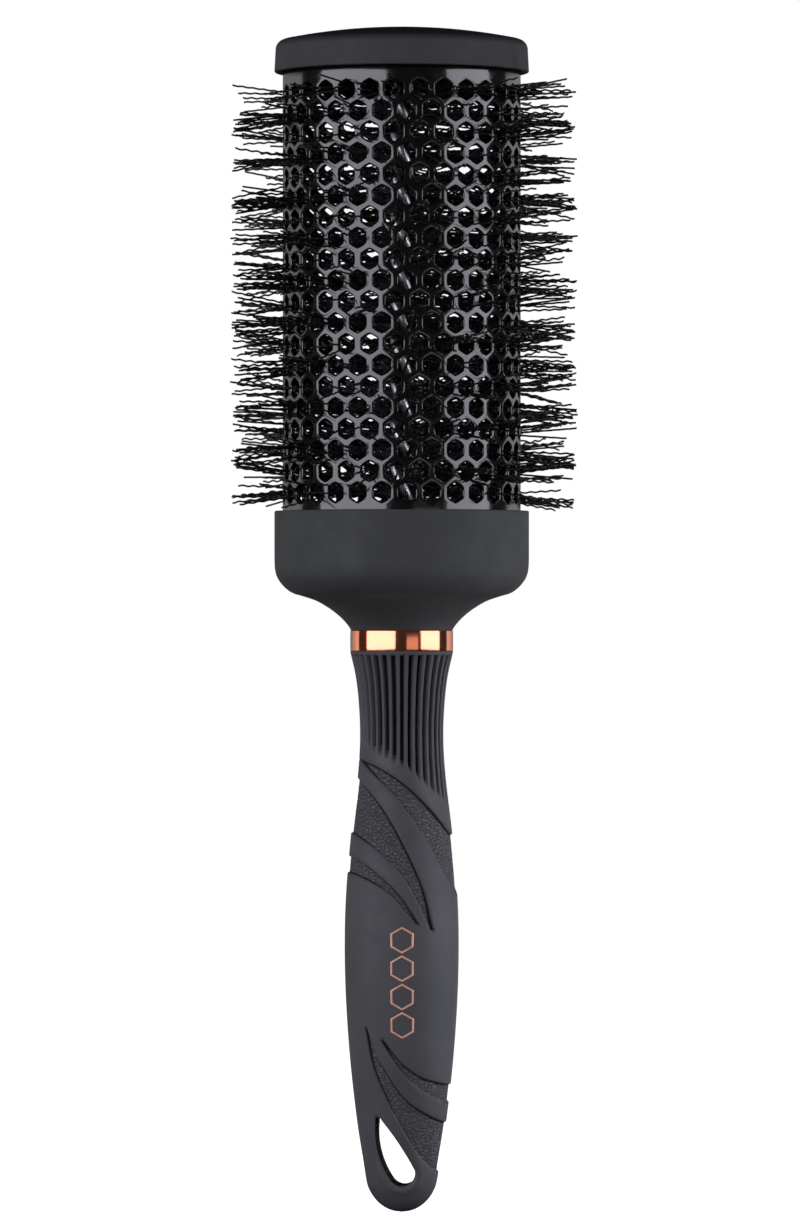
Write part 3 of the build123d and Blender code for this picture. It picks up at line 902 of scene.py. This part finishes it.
def on_form(points, lift):
    """Moves points onto the plain handle form at their own height, and out from it by lift."""
    half_width = np.interp(points[:, 2], handle_line[:, 0], handle_line[:, 1])
    half_depth = np.interp(points[:, 2], handle_line[:, 0], handle_line[:, 2])
    turn = np.arctan2(points[:, 1] / half_depth, points[:, 0] / half_width)
    normal = np.stack([half_depth * np.cos(turn), half_width * np.sin(turn)], -1)
    normal /= np.linalg.norm(normal, axis=1)[:, None]
    flat = np.stack([half_width * np.cos(turn), half_depth * np.sin(turn)], -1)
    return np.column_stack([flat + normal * lift, points[:, 2]])


def edge_path(knots, step=0.4):
    """A window's edge on the handle: from its tip on the front, round the side, to the back."""
    line = smooth_line(knots, 40)
    half_width = np.interp(line[:, 1], handle_line[:, 0], handle_line[:, 1])
    line = line[np.abs(line[:, 0]) < half_width]
    front = np.column_stack([line[:, 0], surface_y(line[:, 0], line[:, 1]), line[:, 1]])
    path = np.vstack([front, front[::-1] * [1, -1, 1]])
    run = np.concatenate([[0], np.cumsum(np.linalg.norm(np.diff(path, axis=0), axis=1))])
    even = np.linspace(0, run[-1], int(run[-1] / step))
    return on_form(np.stack([np.interp(even, run, path[:, k]) for k in range(3)], -1), 0)


def edge_strip(knots, outline, section):
    """A strip along a window's edge, from its section of (into the window, out of the handle)."""
    path = edge_path(knots)
    outward = on_form(path, 1) - path
    inward = np.cross(np.gradient(path, axis=0), outward)
    inward /= np.linalg.norm(inward, axis=1)[:, None]
    spot = len(path) // 4
    probe = path[spot] + 0.2 * inward[spot]
    if inside_distance(probe[:1], probe[2:], outline)[0][0] < 0:
        inward = -inward
    share = 1 - np.abs(np.linspace(-1, 1, len(path)))
    rings = []
    for across, lift in section:
        reach = across(share)[:, None] if callable(across) else across
        rings.append(on_form(path + inward * reach, lift))
    return np.stack(rings, 1).reshape(-1, 3), tube_faces(len(path), len(section))


def shadow_reach(start, end, width):
    """How far the painted shadow in a gap reaches into its window, by the share of the way from tip to
    side.
    """
    def reach(share):
        on = smoothstep(start - 0.12, start + 0.06, share)
        on *= 1 - smoothstep(end - 0.06, end + 0.12, share)
        return -0.05 + (width + 0.05) * on * (1 + 0.9 * np.exp(-((share / 0.12) ** 2)))

    return reach


def make_window_edges():
    """The windows' rounded borders, and near-black strips in the gap between the grip and the core:
    painted shadow.
    """
    deep = skin + 0.3
    lip = [(-lip_width, -0.03), (-lip_width + 0.08, 0.008), (-0.34, 0.006), (-0.24, -0.03)]
    lip += [(-0.1, -0.14), (-0.02, -0.26), (0.0, -0.36), (0.0, -deep), (-lip_width, -deep)]
    borders, shadow_strips = [], []
    for (upper, upper_shadow, lower, lower_shadow), outline in zip(windows, window_outlines):
        for knots, stretch in ((upper, upper_shadow), (lower, lower_shadow)):
            reach = shadow_reach(*stretch)
            # A near-black strip in the gap beside the border: painted shadow.
            gap = [(-0.06, 0.04 - skin), (reach, 0.04 - skin), (reach, -deep), (-0.06, -deep)]
            borders.append(edge_strip(knots, outline, lip))
            shadow_strips.append(edge_strip(knots, outline, gap))
    borders = build_mesh("window_borders", *join_parts(borders), [grip_coat])
    shadow_strips = build_mesh("window_gap_shadows", *join_parts(shadow_strips), [gap_shadow])
    clean_mesh(borders)
    clean_mesh(shadow_strips)
    finish_piece(borders, "grip_soft_touch", "handle_grip")
    finish_piece(shadow_strips, "grained_plastic", "handle_core")


def surface_y(x, z):
    """The front surface of the plain handle form."""
    half_width = np.interp(z, handle_line[:, 0], handle_line[:, 1])
    half_depth = np.interp(z, handle_line[:, 0], handle_line[:, 2])
    return -half_depth * np.sqrt(np.maximum(1 - (x / half_width) ** 2, 0))


def make_handle():
    """The soft grip, the grained core seen in its windows, and the windows' edges."""
    # The second coat paints shade in the deep grooves and on the eye's wall.
    coats = [grip_coat, recess_shade]
    columns = 12 * flute_count
    grip = handle_mesh("grip_skin", coats, columns, 0.5, grip_depth, 0.0, handle_top)
    finish_piece(grip, "grip_soft_touch", "handle_grip")
    core = handle_mesh("grained_core", [grain, grain], 320, 0.38, core_depth, 0.9, handle_top - 0.3)
    finish_piece(core, "grained_plastic", "handle_core")
    make_window_edges()


def make_ornament():
    """Four foil hexagons on the front panel, following its curve."""
    stroke, lift, root, steps = 0.44, 0.05, -0.05, 6
    hexagons = []
    for number in range(4):
        centre = (0.9, 42.0 + number * 6.3)
        rings = []
        for inset, height in ((0, root), (0, lift), (stroke, lift), (stroke, root)):
            x, z = (hexagon(3 * math.sqrt(3) - 2 * inset, steps) + centre).T
            rings.append(np.column_stack([x, surface_y(x, z) - height, z]))
        hexagons.append((np.concatenate(rings), loop_faces(len(rings), len(rings[0]))))
    piece = build_mesh("foil_hexagons", *join_parts(hexagons), [foil])
    clean_mesh(piece)
    return finish_piece(piece, "copper_foil", "panel_ornament")


# ---- The object -----------------------------------------------------------------------------
def keep_node(node, material):
    """A CAD node whose shape is right keeps its mesh and gets its finish."""
    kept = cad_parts[node]
    kept.data.materials.clear()
    kept.data.materials.append(material)


for node in ("core_wire_a", "core_wire_b"):
    keep_node(node, core_steel)
keep_node("neck_stem", stem_steel)
for node in ("base_plug", "cap_plug"):
    keep_node(node, plug_plastic)

make_barrel()
make_bristles()
make_cap()
make_collar()
make_ring()
make_handle()
make_ornament()


# ---- Stage, light and camera ------------------------------------------------------------------
def make_floor():
    """A wide sheet of paper just below the brush."""
    size = 6.0
    corners = [(-size, -size, 0), (size, -size, 0), (size, size, 0), (-size, size, 0)]
    mesh = bpy.data.meshes.new("floor")
    mesh.from_pydata(corners, [], [(0, 1, 2, 3)])
    mesh.materials.append(floor_paper())
    floor = bpy.data.objects.new("floor", mesh)
    floor.location.z = -0.0004
    floor.visible_diffuse = False
    floor.visible_glossy = False
    bpy.context.scene.collection.objects.link(floor)


def panel(name, azimuth, width, low_z, high_z, radiance, distance=1.0, colour=(0.92, 0.95, 1.04)):
    """A soft light panel at an azimuth round from the front, upright and facing the brush."""
    height = high_z - low_z
    light = bpy.data.lights.new(name, "AREA")
    light.shape = "RECTANGLE"
    light.color = colour
    light.size = width
    light.size_y = height
    light.energy = radiance * math.pi * width * height
    lamp = bpy.data.objects.new(name, light)
    turn = math.radians(azimuth)
    lamp.location = (distance * math.sin(turn), -distance * math.cos(turn), (low_z + high_z) / 2)
    inward = Vector((-math.sin(turn), math.cos(turn), 0))
    lamp.rotation_euler = inward.to_track_quat("-Z", "Y").to_euler()
    bpy.context.scene.collection.objects.link(lamp)
    return lamp


def make_world():
    """White behind the brush; the sides and front reflect darker, as a studio does."""
    world = bpy.data.worlds.new("studio")
    bpy.context.scene.world = world
    world.use_nodes = True
    tree = world.node_tree
    background = tree.nodes["Background"]
    direction = add_node(tree, "ShaderNodeTexCoord").outputs["Generated"]
    split = add_node(tree, "ShaderNodeSeparateXYZ")
    tree.links.new(direction, split.inputs["Vector"])
    facing = add_node(tree, "ShaderNodeVectorMath", operation="DOT_PRODUCT")
    tree.links.new(direction, facing.inputs[0])
    facing.inputs[1].default_value = (-0.16, 1.0, 0.0)
    edge = spread(tree, facing.outputs["Value"], 0.0, 0.85, 0.44, 0.48)
    fall = spread(tree, facing.outputs["Value"], 1.0, 0.25, 0.55, 0.98)
    steepness = combine(tree, "ABSOLUTE", split.outputs["Z"])
    level = spread(tree, steepness, 1.0, 0.0, 0.09, 0.25)
    backdrop = combine(tree, "MULTIPLY", combine(tree, "MULTIPLY", edge, fall), level)
    below = spread(tree, split.outputs["Z"], 0.03, 0.045, -0.5, -0.1)
    path = add_node(tree, "ShaderNodeLightPath")
    pick = add_node(tree, "ShaderNodeMix")
    pick.inputs["B"].default_value = 1.0
    tree.links.new(path.outputs["Is Camera Ray"], pick.inputs["Factor"])
    tree.links.new(combine(tree, "MAXIMUM", backdrop, below), pick.inputs["A"])
    tree.links.new(pick.outputs["Result"], background.inputs["Strength"])
    background.inputs["Color"].default_value = (1, 1, 1, 1)


def make_camera():
    """The photograph's view: level, a little from the right, and from far enough to look flat."""
    azimuth = math.radians(4.5)
    distance, eye_level, picture_height = 1.7, 0.1338, 0.2722
    data = bpy.data.cameras.new("camera")
    data.sensor_width = 36
    data.lens = 36 * distance / picture_height
    data.clip_end = 20
    camera = bpy.data.objects.new("camera", data)
    aim = Vector((-0.00038, 0, eye_level))
    camera.location = aim + Vector((distance * math.sin(azimuth), -distance * math.cos(azimuth), 0))
    camera.rotation_euler = (aim - camera.location).to_track_quat("-Z", "Y").to_euler()
    bpy.context.scene.collection.objects.link(camera)
    bpy.context.scene.camera = camera


make_floor()
make_world()
make_camera()
panel("left_panel", -45.0, 1.4, 0.03, 0.6, 3.05)
panel("right_panel", 73.0, 0.92, 0.04, 0.6, 3.15)
panel("low_card", 28.5, 0.46, 0.03, 0.155, 0.75, colour=(1.0, 0.93, 0.82))
side_fill = panel("side_fill", 100.0, 0.12, 0.02, 0.085, 9.5, distance=0.22)
side_fill.visible_glossy = False
bpy.context.scene.view_settings.view_transform = "Standard"
